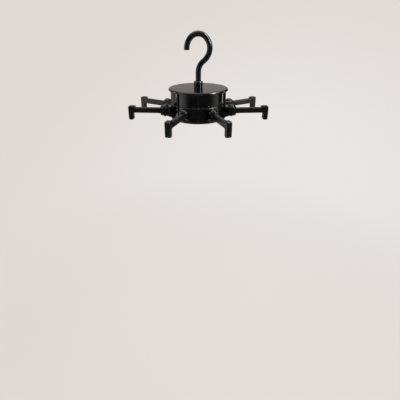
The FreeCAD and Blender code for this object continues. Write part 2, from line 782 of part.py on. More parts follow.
def make_arm(number):
    """One bar: eye with stop heel, cored bar, raised nub, drop tab and the seat of its grip strip."""
    body = part_body("arm_%d" % number)
    half = bar_w / 2
    eye_half = eye_w / 2
    plan = [
        (-heel, -eye_half),
        (eye_len, -eye_half),
        (taper_len, -half),
        (arm_len, -half),
        (arm_len, half),
        (taper_len, half),
        (eye_len, eye_half),
        (-heel, eye_half),
    ]
    extrude(body, "Pad", outline(body, "plan", "XY_Plane", plan, z_bar_foot), bar_h)
    nub_x = arm_len - nub_len
    tab_x = arm_len - tab_t
    z_mid = z_bar_foot + bar_h / 2
    z_nub = z_bar_top + nub_h
    z_tab = z_bar_foot - tab_len
    side = [
        (nub_x, z_mid),
        (nub_x, z_nub),
        (arm_len, z_nub),
        (arm_len, z_tab),
        (tab_x, z_tab),
        (tab_x, z_mid),
    ]
    extrude(body, "Pad", outline(body, "tip", "XZ_Plane", side), bar_w, middle=True)
    round_arm(body, nub_x, tab_x, z_nub, z_tab)
    core_half = core_w / 2
    core_end = tab_x - core_rib_t
    core = box_outline(body, "core", "XY_Plane", taper_len, core_end, -core_half, core_half, z_bar_foot)
    extrude(body, "Pocket", core, core_depth)
    make_core_ribs(body, core_half, core_end)
    grip_half = grip_w / 2 + seat_gap / 2
    seat_start = grip_start - seat_gap / 2
    seat_end = grip_end + seat_gap / 2
    seat = box_outline(body, "seat", "XY_Plane", seat_start, seat_end, -grip_half, grip_half, z_bar_top)
    extrude(body, "Pocket", seat, grip_depth, down=True)
    bore = circle(body, "bore", ZERO, pin_r + run_gap, z_bar_top)
    extrude(body, "Pocket", bore, bar_h, down=True)
    set_on_pin(body, number)
    return body


def round_arm(body, nub_x, tab_x, z_nub, z_tab):
    """Rounds the tip across the bar, then every edge along the bar's two sides."""
    across = Vector(0, 1, 0)
    half = bar_w.value / 2

    def crosses(edge, x, level):
        middle = edge.CenterOfMass
        right_x = x is None or near(middle.x, x.value)
        return runs_along(edge, across) and right_x and near(middle.z, level.value)

    def inner_corner(edge):
        return crosses(edge, nub_x, z_bar_top) or crosses(edge, tab_x, z_bar_foot)

    def side_edge(edge):
        on_side = all(near(abs(corner.Y), half) for corner in edge.Vertexes)
        return on_side and edge.CenterOfMass.x > taper_len.value + 0.01 and not runs_along(edge, across)

    round_edges(body, "tab_foot", tab_round, lambda edge: crosses(edge, None, z_tab))
    round_edges(body, "nub_ends", nub_round, lambda edge: crosses(edge, None, z_nub))
    round_edges(body, "inner_corners", corner_round, inner_corner)
    round_edges(body, "sides", bar_round, side_edge)


def make_core_ribs(body, core_half, core_end):
    """Cross ribs that divide the cored channel into equal lengths."""
    rib_step = (core_end - taper_len) / (CORE_RIBS + 1.0)
    start = taper_len + rib_step - core_rib_t / 2
    z_roof = z_bar_foot + core_depth
    sketch = box_outline(
        body,
        "core_rib",
        "XY_Plane",
        start,
        start + core_rib_t,
        -(core_half + 0.3),
        core_half + 0.3,
        z_bar_foot + core_depth * 0.3,
    )
    rib = extrude(body, "Pad", sketch, z_roof - z_bar_foot)
    pattern = add_feature(body, "LinearPattern", "core_ribs")
    pattern.Originals = [rib]
    pattern.Direction = (datum(body, "X_Axis"), [""])
    span = rib_step * (CORE_RIBS - 1.0)
    pattern.Length = span.value
    pattern.setExpression("Length", span.text)
    pattern.Occurrences = CORE_RIBS
    body.Tip = pattern


def make_grip(number):
    """One grip strip, seated in its arm and slightly proud of it."""
    body = part_body("grip_strip_%d" % number)
    half = grip_w / 2
    plan = box_outline(body, "plan", "XY_Plane", grip_start, grip_end, -half, half, z_grip_seat)
    extrude(body, "Pad", plan, grip_depth + grip_proud)
    set_on_pin(body, number)
    return body


# Build, check and write

parts = [make_hook(), make_collar(), make_washer(), make_nut()]
parts += [make_cover(), make_housing(), make_ring(), make_base()]
parts.append(make_bush("upper_bush", z_boss - 0.4, z_housing - guide_len + 0.4, flange=False))
parts.append(make_bush("lower_bush", z_deck - 0.4, z_hub_boss, flange=True))
parts += [make_screws(), make_pins(), make_clips()]
for arm_number in range(1, ARM_COUNT + 1):
    parts.append(make_arm(arm_number))
    parts.append(make_grip(arm_number))
doc.recompute()

for item in doc.Objects:
    if "Invalid" in item.State or "Error" in item.State:
        raise RuntimeError("feature failed: " + item.Label)
os.makedirs("parts", exist_ok=True)
for body in parts:
    if body.Shape.isNull() or not body.Shape.isValid():
        raise RuntimeError("bad shape: " + body.Label)
    body.Shape.exportStep("parts/%s.step" % body.Label)
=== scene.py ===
import json
import math

import bpy
import bmesh
from mathutils import Euler, Matrix, Vector


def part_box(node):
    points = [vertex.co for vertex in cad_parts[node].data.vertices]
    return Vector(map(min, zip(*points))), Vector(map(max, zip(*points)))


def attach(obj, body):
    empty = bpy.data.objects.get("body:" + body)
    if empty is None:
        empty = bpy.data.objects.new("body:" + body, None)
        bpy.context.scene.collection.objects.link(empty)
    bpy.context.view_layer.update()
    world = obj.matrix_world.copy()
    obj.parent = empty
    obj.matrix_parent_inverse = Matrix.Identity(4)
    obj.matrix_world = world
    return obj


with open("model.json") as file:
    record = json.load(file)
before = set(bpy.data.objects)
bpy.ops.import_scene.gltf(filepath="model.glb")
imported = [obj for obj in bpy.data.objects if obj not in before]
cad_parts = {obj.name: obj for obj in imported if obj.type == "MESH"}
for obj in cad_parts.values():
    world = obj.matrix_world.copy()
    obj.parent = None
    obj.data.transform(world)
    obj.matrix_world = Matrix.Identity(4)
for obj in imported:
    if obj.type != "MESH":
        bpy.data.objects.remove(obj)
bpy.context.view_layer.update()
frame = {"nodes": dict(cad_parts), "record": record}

# Rotating hanger in black moulded plastic: rod hook, round hub and eight swinging bars.
# Metres, in the frame of the solids: origin where the hook bears, +Z up, hook in the XZ plane.

# Bars, measured along each bar from its pin
ARM_COUNT = 8
ARM_STEP = 2.0 * math.pi / ARM_COUNT
PIN_CIRCLE = 0.072
BAR_HALF = 0.0048
BAR_START = 0.0130
BAR_END = 0.0585

# Pips on the grip strips
PIP_RADIUS = 0.00058
PIP_FLATNESS = 0.55
PIP_COLUMNS = 24
PIP_ROWS = 3
PIP_BAND = 0.0036
PIP_END_GAPS = 0.003
PIP_INSET = 0.001
PIP_SEED = 11
PIP_SMALLEST = 0.92
PIP_LARGEST = 1.06

# Seams of the hub and parting lines of the bars
RIDGE_SUNK = 0.00004
RIDGE_FOOT = 0.00020
RIDGE_FADE = 0.12
HUB_SEAM_WIDTH = 0.0017
HUB_SEAM_PROUD = 0.0003
HUB_SEAM_TOP_GAP = 0.0002
GROOVE_ABOVE = 0.0007
GROOVE_BELOW = 0.0016
BASE_RIM = 0.0042
BAR_SEAM_WIDTH = 0.0005
BAR_SEAM_PROUD = 0.00018
BAR_SEAM_DROP = 0.0054

# Marks in the dish under the hub
DISH_DEPTH = 0.0008
BASE_RING_RADII = (0.0100, 0.0235)
BASE_RING_HALF = 0.0006
BASE_RING_PROUD = 0.0005
BASE_RING_SUNK = 0.0001
BASE_RING_STEPS = 96
MARK_CIRCLE = 0.0168
MARK_COUNT = 6
MARK_RADIUS = 0.0022
MARK_FLATNESS = 0.10

# Stage
HUB = (0.0, 0.0, -0.12)
FLOOR_Z = -0.93
ROOM_STRENGTH = 0.20
# Painted pool of light on the far paper, seen by the camera: its centre, and the radii where it starts
# and where it is full
PAINTED_LIGHT_PLACE = (0.6, 1.4, -0.9)
PAINTED_LIGHT_EDGE = 2.0
PAINTED_LIGHT_CORE = 0.6
NEAR_REACH = 0.2
FAR_REACH = 1.2
NEAR_SHARE = 0.60
FELT_FRONT_Y = -1.0
FELT_SIDE_Y = -0.2

# How much rubbed edges and dust take from the gloss
RUBBED_ROUGHNESS = 0.25
DUST_ROUGHNESS = 0.9

# Colours
PALE = (0.738, 0.690, 0.663, 1.0)
SHADED_PALE = (0.728, 0.680, 0.653, 1.0)
# Painted light: the paper's tone in the middle of its painted pool of light
PAINTED_LIGHT_PALE = (0.815, 0.785, 0.765, 1.0)
# Painted shade: the far paper's tone as gloss and glass see it
PAINTED_SHADE_PALE = (0.44, 0.41, 0.395, 1.0)
ROOM_TINT = (1.0, 0.98, 0.96, 1.0)
# Painted shade: tones of the felt screen that the gloss sees in place of the room
PAINTED_SHADE_GREY = (0.14, 0.14, 0.14, 1.0)
PAINTED_SHADE_LIGHT_GREY = (0.20, 0.20, 0.20, 1.0)
PAINTED_SHADE_BLACK = (0.008, 0.008, 0.008, 1.0)
BLACK = (0.0060, 0.0058, 0.0056, 1.0)
DEEP_BLACK = (0.0024, 0.0023, 0.0022, 1.0)
SCUFF_GREY = (0.050, 0.049, 0.048, 1.0)
DUST_GREY = (0.30, 0.29, 0.28, 1.0)
RUBBER_GREY = (0.012, 0.012, 0.012, 1.0)
STEEL = (0.60, 0.60, 0.61, 1.0)
STAINED_STEEL = (0.36, 0.35, 0.34, 1.0)
NYLON = (0.78, 0.76, 0.71, 1.0)
AGED_NYLON = (0.70, 0.66, 0.58, 1.0)


# Shader groups shared by the finishes


class Nodes:
    """Small helper that adds and links nodes in one tree."""

    def __init__(self, tree):
        self.tree = tree

    def add(self, kind, **settings):
        node = self.tree.nodes.new(kind)
        for key, value in settings.items():
            setattr(node, key, value)
        return node

    def link(self, source, target):
        self.tree.links.new(source, target)

    def feed(self, value, socket):
        """Gives a socket a plain number or colour, or links another socket to it."""
        if isinstance(value, (int, float, tuple)):
            socket.default_value = value
        else:
            self.link(value, socket)

    def math(self, operation, first, second):
        node = self.add("ShaderNodeMath", operation=operation)
        self.feed(first, node.inputs[0])
        self.feed(second, node.inputs[1])
        return node.outputs[0]

    def ramp(self, value, low, high, to_low=0.0, to_high=1.0):
        node = self.add("ShaderNodeMapRange", clamp=True)
        self.feed(value, node.inputs["Value"])
        self.feed(low, node.inputs["From Min"])
        self.feed(high, node.inputs["From Max"])
        self.feed(to_low, node.inputs["To Min"])
        self.feed(to_high, node.inputs["To Max"])
        return node.outputs["Result"]

    def noise(self, position, scale, detail, roughness):
        node = self.add("ShaderNodeTexNoise")
        self.feed(position, node.inputs["Vector"])
        self.feed(scale, node.inputs["Scale"])
        self.feed(detail, node.inputs["Detail"])
        self.feed(roughness, node.inputs["Roughness"])
        return node.outputs["Fac"]

    def weighed(self, first, share, second):
        """Two values added, the first by its share and the second by the rest."""
        part = self.math("MULTIPLY", first, share)
        rest = self.math("MULTIPLY", second, 1.0 - share)
        return self.math("ADD", part, rest)


def shader_group(name, inputs, outputs):
    """An empty shader group with named sockets; returns the tree, its helper and its two ends."""
    tree = bpy.data.node_groups.new(name, "ShaderNodeTree")
    for label, kind, default in inputs:
        socket = tree.interface.new_socket(label, in_out="INPUT", socket_type=kind)
        if default is not None:
            socket.default_value = default
    for label, kind in outputs:
        tree.interface.new_socket(label, in_out="OUTPUT", socket_type=kind)
    nodes = Nodes(tree)
    return tree, nodes, nodes.add("NodeGroupInput"), nodes.add("NodeGroupOutput")


def make_skin_group():
    """Moulded or painted skin: orange peel, fine grain and slow gloss changes."""
    tree, n, start, end = shader_group(
        "moulded_skin",
        [
            ("Position", "NodeSocketVector", None),
            ("Grain Scale", "NodeSocketFloat", 900.0),
            ("Peel Scale", "NodeSocketFloat", 140.0),
            ("Gloss Low", "NodeSocketFloat", 0.16),
            ("Gloss High", "NodeSocketFloat", 0.28),
        ],
        [("Height", "NodeSocketFloat"), ("Roughness", "NodeSocketFloat")],
    )
    position = start.outputs["Position"]
    grain = n.noise(position, start.outputs["Grain Scale"], detail=4.0, roughness=0.6)
    peel = n.noise(position, start.outputs["Peel Scale"], detail=2.0, roughness=0.5)
    slow = n.noise(position, scale=32.0, detail=4.0, roughness=0.6)
    height = n.weighed(grain, 0.35, peel)
    blend = n.weighed(slow, 0.7, grain)
    rough = n.ramp(blend, 0.3, 0.7, start.outputs["Gloss Low"], start.outputs["Gloss High"])
    n.link(height, end.inputs["Height"])
    n.link(rough, end.inputs["Roughness"])
    return tree


def make_wear_group():
    """Rubbed edges: where the bevelled normal leaves the face normal, broken up by noise."""
    tree, n, start, end = shader_group(
        "rubbed_edges",
        [
            ("Position", "NodeSocketVector", None),
            ("Width", "NodeSocketFloat", 0.0009),
            ("Amount", "NodeSocketFloat", 0.5),
        ],
        [("Mask", "NodeSocketFloat")],
    )
    bevel = n.add("ShaderNodeBevel", samples=4)
    n.link(start.outputs["Width"], bevel.inputs["Radius"])
    face = n.add("ShaderNodeNewGeometry")
    turn = n.add("ShaderNodeVectorMath", operation="DOT_PRODUCT")
    n.link(bevel.outputs["Normal"], turn.inputs[0])
    n.link(face.outputs["Normal"], turn.inputs[1])
    edge = n.ramp(turn.outputs["Value"], 0.995, 0.86)
    patches = n.noise(start.outputs["Position"], scale=260.0, detail=5.0, roughness=0.65)
    broken = n.ramp(patches, 0.46, 0.66)
    mask = n.math("MULTIPLY", n.math("MULTIPLY", edge, broken), start.outputs["Amount"])
    n.link(mask, end.inputs["Mask"])
    return tree


def make_dust_group():
    """Fine dust that settles on faces that look up."""
    tree, n, start, end = shader_group(
        "settled_dust",
        [
            ("Position", "NodeSocketVector", None),
            ("Amount", "NodeSocketFloat", 0.12),
        ],
        [("Mask", "NodeSocketFloat")],
    )
    position = start.outputs["Position"]
    face = n.add("ShaderNodeNewGeometry")
    split = n.add("ShaderNodeSeparateXYZ")
    n.link(face.outputs["Normal"], split.inputs[0])
    up = n.ramp(split.outputs["Z"], 0.55, 1.0)
    patches = n.ramp(n.noise(position, scale=55.0, detail=6.0, roughness=0.7), 0.42, 0.75)
    specks = n.ramp(n.noise(position, scale=1500.0, detail=2.0, roughness=0.5), 0.62, 0.74)
    cover = n.weighed(patches, 0.45, specks)
    mask = n.math("MULTIPLY", n.math("MULTIPLY", cover, up), start.outputs["Amount"])
    n.link(mask, end.inputs["Mask"])
    return tree


SKIN = make_skin_group()
WEAR = make_wear_group()
DUST = make_dust_group()


# Finishes


def new_material(name):
    """A material with a Principled shader; returns it with its node helper and object position."""
    material = bpy.data.materials.new(name)
    material.use_nodes = True
    nodes = Nodes(material.node_tree)
    shader = material.node_tree.nodes["Principled BSDF"]
    position = nodes.add("ShaderNodeTexCoord").outputs["Object"]
    return material, nodes, shader, position


def use_group(nodes, tree, position, **values):
    """Places a shared group, fed with the object position and its own values."""
    node = nodes.add("ShaderNodeGroup", node_tree=tree)
    nodes.link(position, node.inputs["Position"])
    for key, value in values.items():
        node.inputs[key.replace("_", " ").title()].default_value = value
    return node


def layer(nodes, below, above, mask):
    """Lays one colour over another by a mask; a Mix node keeps its colours in sockets 6, 7 and 2."""
    mix = nodes.add("ShaderNodeMix", data_type="RGBA")
    nodes.feed(below, mix.inputs[6])
    nodes.feed(above, mix.inputs[7])
    nodes.link(mask, mix.inputs["Factor"])
    return mix.outputs[2]


def raise_skin(nodes, shader, height, strength, distance, edge=0.0):
    """Bump from a height; a round edge of the given radius takes off the sharpness."""
    bump = nodes.add("ShaderNodeBump")
    if edge > 0.0:
        bevel = nodes.add("ShaderNodeBevel", samples=6)
        bevel.inputs["Radius"].default_value = edge
        nodes.link(bevel.outputs["Normal"], bump.inputs["Normal"])
    bump.inputs["Strength"].default_value = strength
    bump.inputs["Distance"].default_value = distance
    nodes.link(height, bump.inputs["Height"])
    nodes.link(bump.outputs["Normal"], shader.inputs["Normal"])


def black_finish(name, colour, gloss, shine, wear, dust, peel, bump, edge):
    """Black gloss with rubbed edges and a little dust; for moulded plastic and for paint."""
    material, n, shader, position = new_material(name)
    skin = use_group(n, SKIN, position, gloss_low=gloss[0], gloss_high=gloss[1], peel_scale=peel)
    rubbed = use_group(n, WEAR, position, amount=wear).outputs["Mask"]
    settled = use_group(n, DUST, position, amount=dust).outputs["Mask"]
    worn = layer(n, colour, SCUFF_GREY, rubbed)
    n.link(layer(n, worn, DUST_GREY, settled), shader.inputs["Base Color"])
    rough = n.math("ADD", skin.outputs["Roughness"], n.math("MULTIPLY", rubbed, RUBBED_ROUGHNESS))
    rough = n.math("ADD", rough, n.math("MULTIPLY", settled, DUST_ROUGHNESS))
    n.link(rough, shader.inputs["Roughness"])
    shader.inputs["Specular IOR Level"].default_value = shine
    raise_skin(n, shader, skin.outputs["Height"], bump, distance=0.0003, edge=edge)
    return material


def rubber_finish():
    """Soft grip rubber: matt, finely grained."""
    material, n, shader, position = new_material("grip_rubber")
    skin = use_group(
        n, SKIN, position, gloss_low=0.52, gloss_high=0.72, grain_scale=1600.0, peel_scale=500.0
    )
    settled = use_group(n, DUST, position, amount=0.22)
    n.link(layer(n, RUBBER_GREY, DUST_GREY, settled.outputs["Mask"]), shader.inputs["Base Color"])
    n.link(skin.outputs["Roughness"], shader.inputs["Roughness"])
    raise_skin(n, shader, skin.outputs["Height"], strength=0.5, distance=0.0003)
    return material


def steel_finish():
    """Plain zinc-bright steel of the small fastenings."""
    material, n, shader, position = new_material("bright_steel")
    skin = use_group(n, SKIN, position, gloss_low=0.26, gloss_high=0.44, grain_scale=1200.0)
    patches = n.noise(position, scale=180.0, detail=5.0, roughness=0.6)
    stain = n.ramp(patches, 0.4, 0.8, 0.0, 0.5)
    n.link(layer(n, STEEL, STAINED_STEEL, stain), shader.inputs["Base Color"])
    n.link(skin.outputs["Roughness"], shader.inputs["Roughness"])
    shader.inputs["Metallic"].default_value = 1.0
    raise_skin(n, shader, skin.outputs["Height"], strength=0.25, distance=0.0002)
    return material


def nylon_finish():
    """Natural nylon of the bushes."""
    material, n, shader, position = new_material("nylon")
    skin = use_group(n, SKIN, position, gloss_low=0.34, gloss_high=0.5)
    patches = n.noise(position, scale=90.0, detail=4.0, roughness=0.6)
    tone = n.ramp(patches, 0.35, 0.75)
    n.link(layer(n, NYLON, AGED_NYLON, tone), shader.inputs["Base Color"])
    n.link(skin.outputs["Roughness"], shader.inputs["Roughness"])
    raise_skin(n, shader, skin.outputs["Height"], strength=0.2, distance=0.0002)
    return material


FINISHES = {
    "black_plastic": black_finish(
        "black_plastic", BLACK, gloss=(0.13, 0.24), shine=0.34,
        wear=0.45, dust=0.08, peel=130.0, bump=0.08, edge=0.0016,
    ),
    "polished_plastic": black_finish(
        "polished_plastic", DEEP_BLACK, gloss=(0.03, 0.06), shine=0.50,
        wear=0.35, dust=0.025, peel=90.0, bump=0.02, edge=0.0006,
    ),
    "black_steel": black_finish(
        "black_steel", DEEP_BLACK, gloss=(0.07, 0.15), shine=0.50,
        wear=0.30, dust=0.03, peel=220.0, bump=0.05, edge=0.0006,
    ),
    "grip_rubber": rubber_finish(),
    "bright_steel": steel_finish(),
    "nylon": nylon_finish(),
}
POLISHED = ("top_cover", "hub_housing", "arm_ring", "stem_collar")

for entry in frame["record"]["subparts"]:
    mesh = frame["nodes"][entry["node"]].data
    finish = "polished_plastic" if entry["node"] in POLISHED else entry["material_slot"]
    mesh.materials.clear()
    mesh.materials.append(FINISHES[finish])


# Moulded details


def add_piece(name, mesh, finish, body):
    """Puts a finished mesh in the scene and ties it to its body."""
    mesh.materials.clear()
    mesh.materials.append(finish)
    piece = bpy.data.objects.new(name, mesh)
    bpy.context.scene.collection.objects.link(piece)
    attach(piece, body)


def node_box(name):
    """Lowest and highest corner of a solid."""
    low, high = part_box(name)
    return Vector(low), Vector(high)


def strip_top(k):
    """Height of the top face of a grip strip."""
    return node_box("grip_strip_%d" % k)[1].z


def arm_place(k):
    """Frame of an arm as it rests: origin on its pin's axis, X along the bar."""
    low, high = node_box("grip_strip_%d" % k)
    middle = (low + high) / 2
    angle = ARM_STEP * (k - 0.5)
    pin = Vector((PIN_CIRCLE * math.cos(angle), PIN_CIRCLE * math.sin(angle), 0.0))
    heading = math.atan2(middle.y - pin.y, middle.x - pin.x)
    return Matrix.Translation(pin) @ Matrix.Rotation(heading, 4, "Z")


def detail_tree(name, inputs):
    """A geometry node tree with named inputs and a finish; returns it with its helper and two ends."""
    tree = bpy.data.node_groups.new(name, "GeometryNodeTree")
    for label, kind in inputs:
        tree.interface.new_socket(label, in_out="INPUT", socket_type=kind)
    tree.interface.new_socket("Finish", in_out="INPUT", socket_type="NodeSocketMaterial")
    tree.interface.new_socket("Geometry", in_out="OUTPUT", socket_type="NodeSocketGeometry")
    n = Nodes(tree)
    return tree, n, n.add("NodeGroupInput"), n.add("NodeGroupOutput")


def finish_tree(n, points, shape, scale, start, end):
    """Sets a shape on every point, makes the copies real and smooth, and gives them their finish."""
    place = n.add("GeometryNodeInstanceOnPoints")
    real = n.add("GeometryNodeRealizeInstances")
    smooth = n.add("GeometryNodeSetShadeSmooth")
    paint = n.add("GeometryNodeSetMaterial")
    n.link(points.outputs["Mesh"], place.inputs["Points"])
    n.link(shape.outputs["Mesh"], place.inputs["Instance"])
    n.link(scale.outputs["Vector"], place.inputs["Scale"])
    n.link(place.outputs["Instances"], real.inputs["Geometry"])
    n.link(real.outputs["Geometry"], smooth.inputs["Geometry"])
    n.link(smooth.outputs["Geometry"], paint.inputs["Geometry"])
    n.link(start.outputs["Finish"], paint.inputs["Material"])
    n.link(paint.outputs["Geometry"], end.inputs["Geometry"])


def make_pip_tree():
    """Rows of small domed pips on a level rectangle."""
    tree, n, start, end = detail_tree(
        "pip_rows",
        [
            ("Length", "NodeSocketFloat"),
            ("Width", "NodeSocketFloat"),
            ("Columns", "NodeSocketInt"),
            ("Rows", "NodeSocketInt"),
            ("Pip Radius", "NodeSocketFloat"),
            ("Flatness", "NodeSocketFloat"),
            ("Seed", "NodeSocketInt"),
        ],
    )
    grid = n.add("GeometryNodeMeshGrid")
    n.link(start.outputs["Length"], grid.inputs["Size X"])
    n.link(start.outputs["Width"], grid.inputs["Size Y"])
    n.link(start.outputs["Columns"], grid.inputs["Vertices X"])
    n.link(start.outputs["Rows"], grid.inputs["Vertices Y"])
    pip = n.add("GeometryNodeMeshIcoSphere")
    pip.inputs["Subdivisions"].default_value = 2
    n.link(start.outputs["Pip Radius"], pip.inputs["Radius"])
    # A Random Value node keeps its plain numbers in inputs 2 and 3 and in output 1.
    spread = n.add("FunctionNodeRandomValue", data_type="FLOAT")
    spread.inputs[2].default_value = PIP_SMALLEST
    spread.inputs[3].default_value = PIP_LARGEST
    n.link(start.outputs["Seed"], spread.inputs["Seed"])
    size = spread.outputs[1]
    scale = n.add("ShaderNodeCombineXYZ")
    n.link(size, scale.inputs["X"])
    n.link(size, scale.inputs["Y"])
    n.link(n.math("MULTIPLY", size, start.outputs["Flatness"]), scale.inputs["Z"])
    finish_tree(n, grid, pip, scale, start, end)
    return tree


def make_mark_tree():
    """A circle of low round marks, as the ejector pins of a mould leave them."""
    tree, n, start, end = detail_tree(
        "ejector_marks",
        [
            ("Radius", "NodeSocketFloat"),
            ("Count", "NodeSocketInt"),
            ("Mark Radius", "NodeSocketFloat"),
            ("Flatness", "NodeSocketFloat"),
        ],
    )
    ring = n.add("GeometryNodeMeshCircle")
    n.link(start.outputs["Radius"], ring.inputs["Radius"])
    n.link(start.outputs["Count"], ring.inputs["Vertices"])
    mark = n.add("GeometryNodeMeshUVSphere")
    mark.inputs["Segments"].default_value = 20
    mark.inputs["Rings"].default_value = 8
    n.link(start.outputs["Mark Radius"], mark.inputs["Radius"])
    scale = n.add("ShaderNodeCombineXYZ")
    scale.inputs["X"].default_value = 1.0
    scale.inputs["Y"].default_value = 1.0
    n.link(start.outputs["Flatness"], scale.inputs["Z"])
    finish_tree(n, ring, mark, scale, start, end)
    return tree


def grown_mesh(tree, name, values):
    """Runs a geometry node tree once with the given inputs and returns the plain mesh."""
    holder = bpy.data.objects.new(name + "_holder", bpy.data.meshes.new(name + "_holder"))
    bpy.context.scene.collection.objects.link(holder)
    modifier = holder.modifiers.new("grow", "NODES")
    modifier.node_group = tree
    for item in tree.interface.items_tree:
        if item.in_out == "INPUT":
            modifier[item.identifier] = values[item.name]
    graph = bpy.context.evaluated_depsgraph_get()
    mesh = bpy.data.meshes.new_from_object(holder.evaluated_get(graph))
    mesh.name = name
    bpy.data.objects.remove(holder)
    return mesh


def smooth_mesh(name, build):
    """Turns a mesh under construction into a smooth-shaded one with its faces outwards."""
    bmesh.ops.recalc_face_normals(build, faces=build.faces)
    mesh = bpy.data.meshes.new(name)
    build.to_mesh(mesh)
    build.free()
    for face in mesh.polygons:
        face.use_smooth = True
    return mesh


def make_grip_pips():
    """Three rows of pips on every grip strip."""
    tree = make_pip_tree()
    middle = (BAR_START + BAR_END) / 2 - PIP_INSET
    for k in range(1, ARM_COUNT + 1):
        values = {
            "Length": BAR_END - BAR_START - PIP_END_GAPS,
            "Width": PIP_BAND,
            "Columns": PIP_COLUMNS,
            "Rows": PIP_ROWS,
            "Pip Radius": PIP_RADIUS,
            "Flatness": PIP_FLATNESS,
            "Seed": PIP_SEED + k,
            "Finish": FINISHES["grip_rubber"],
        }
        mesh = grown_mesh(tree, "grip_pips_%d" % k, values)
        mesh.transform(arm_place(k) @ Matrix.Translation((middle, 0.0, strip_top(k))))
        add_piece("grip_pips_%d" % k, mesh, FINISHES["grip_rubber"], "arm_%d" % k)


def add_ridge(build, first, last, out, width, proud):
    """A low rounded ridge on a face between two points, with faded ends and a foot sunk in the face."""
    across_steps = 6
    along_steps = 14
    along = (last - first).normalized()
    across = along.cross(out)
    loops = []
    for j in range(along_steps + 1):
        t = j / along_steps
        fade = math.sqrt(min(1.0, t / RIDGE_FADE, (1.0 - t) / RIDGE_FADE))
        section = []
        for i in range(across_steps + 1):
            s = i / across_steps * 2.0 - 1.0
            section.append((s, proud * math.sqrt(1.0 - s * s) * fade - RIDGE_SUNK))
        section += [(1.0, -RIDGE_FOOT), (-1.0, -RIDGE_FOOT)]
        middle = first.lerp(last, t)
        loop = []
        for s, rise in section:
            loop.append(build.verts.new(middle + across * (s * width / 2) + out * rise))
        loops.append(loop)
    for here, there in zip(loops, loops[1:]):
        for i in range(len(here)):
            k = (i + 1) % len(here)
            build.faces.new((here[i], here[k], there[k], there[i]))
    build.faces.new(loops[0])
    build.faces.new(loops[-1])


def make_hub_seams():
    """Moulding seams on both halves of the drum, front and back."""
    house_low, house_high = node_box("hub_housing")
    radius = house_high.x
    upper = (house_low.z + GROOVE_ABOVE, house_high.z - HUB_SEAM_TOP_GAP)
    lower = (node_box("bottom_cover")[0].z + BASE_RIM, house_low.z - GROOVE_BELOW)
    build = bmesh.new()
    for side in (-1.0, 1.0):
        for low, high in (upper, lower):
            foot = Vector((0.0, side * radius, low))
            head = Vector((0.0, side * radius, high))
            add_ridge(build, foot, head, Vector((0.0, side, 0.0)), HUB_SEAM_WIDTH, HUB_SEAM_PROUD)
    mesh = smooth_mesh("hub_seams", build)
    add_piece("hub_seams", mesh, FINISHES["polished_plastic"], "carousel")


def make_bar_seams():
    """A fine parting line along both sides of every bar."""
    for k in range(1, ARM_COUNT + 1):
        level = strip_top(k) - BAR_SEAM_DROP
        build = bmesh.new()
        for side in (-1.0, 1.0):
            first = Vector((BAR_START, side * BAR_HALF, level))
            last = Vector((BAR_END, side * BAR_HALF, level))
            add_ridge(build, first, last, Vector((0.0, side, 0.0)), BAR_SEAM_WIDTH, BAR_SEAM_PROUD)
        mesh = smooth_mesh("bar_seams_%d" % k, build)
        mesh.transform(arm_place(k))
        add_piece("bar_seams_%d" % k, mesh, FINISHES["black_plastic"], "arm_%d" % k)


def turned_mesh(name, profiles, steps):
    """Closed profiles of radius and height, turned round the upright axis."""
    build = bmesh.new()
    for profile in profiles:
        rings = []
        for i in range(steps):
            angle = 2.0 * math.pi * i / steps
            ring = []
            for radius, height in profile:
                place = (radius * math.cos(angle), radius * math.sin(angle), height)
                ring.append(build.verts.new(place))
            rings.append(ring)
        for i in range(steps):
            here = rings[i]
            there = rings[(i + 1) % steps]
            for j in range(len(profile)):
                k = (j + 1) % len(profile)
                build.faces.new((here[j], there[j], there[k], here[k]))
    return smooth_mesh(name, build)


def make_base_marks():
    """Mould rings and ejector marks in the shallow dish under the hub."""
    dish = node_box("bottom_cover")[0].z + DISH_DEPTH
    arc_steps = 8
    profiles = []
    for radius in BASE_RING_RADII:
        profile = []
        for i in range(arc_steps + 1):
            angle = math.pi * i / arc_steps
            drop = BASE_RING_PROUD * math.sin(angle)
            profile.append((radius + BASE_RING_HALF * math.cos(angle), dish + BASE_RING_SUNK - drop))
        profiles.append(profile)
    rings = turned_mesh("base_rings", profiles, BASE_RING_STEPS)
    add_piece("base_rings", rings, FINISHES["black_plastic"], "carousel")
    values = {
        "Radius": MARK_CIRCLE,
        "Count": MARK_COUNT,
        "Mark Radius": MARK_RADIUS,
        "Flatness": MARK_FLATNESS,
        "Finish": FINISHES["black_plastic"],
    }
    marks = grown_mesh(make_mark_tree(), "ejector_marks", values)
    marks.transform(Matrix.Translation((0.0, 0.0, dish)))
    add_piece("ejector_marks", marks, FINISHES["black_plastic"], "carousel")


make_grip_pips()
make_hub_seams()
make_bar_seams()
make_base_marks()


# Stage, light and camera


def seen_rays(n):
    """One where the camera, gloss or glass looks straight at a surface, and nought for its light."""
    path = n.add("ShaderNodeLightPath")
    seen = n.math("MAXIMUM", path.outputs["Is Camera Ray"], path.outputs["Is Glossy Ray"])
    return n.math("MAXIMUM", seen, path.outputs["Is Transmission Ray"])


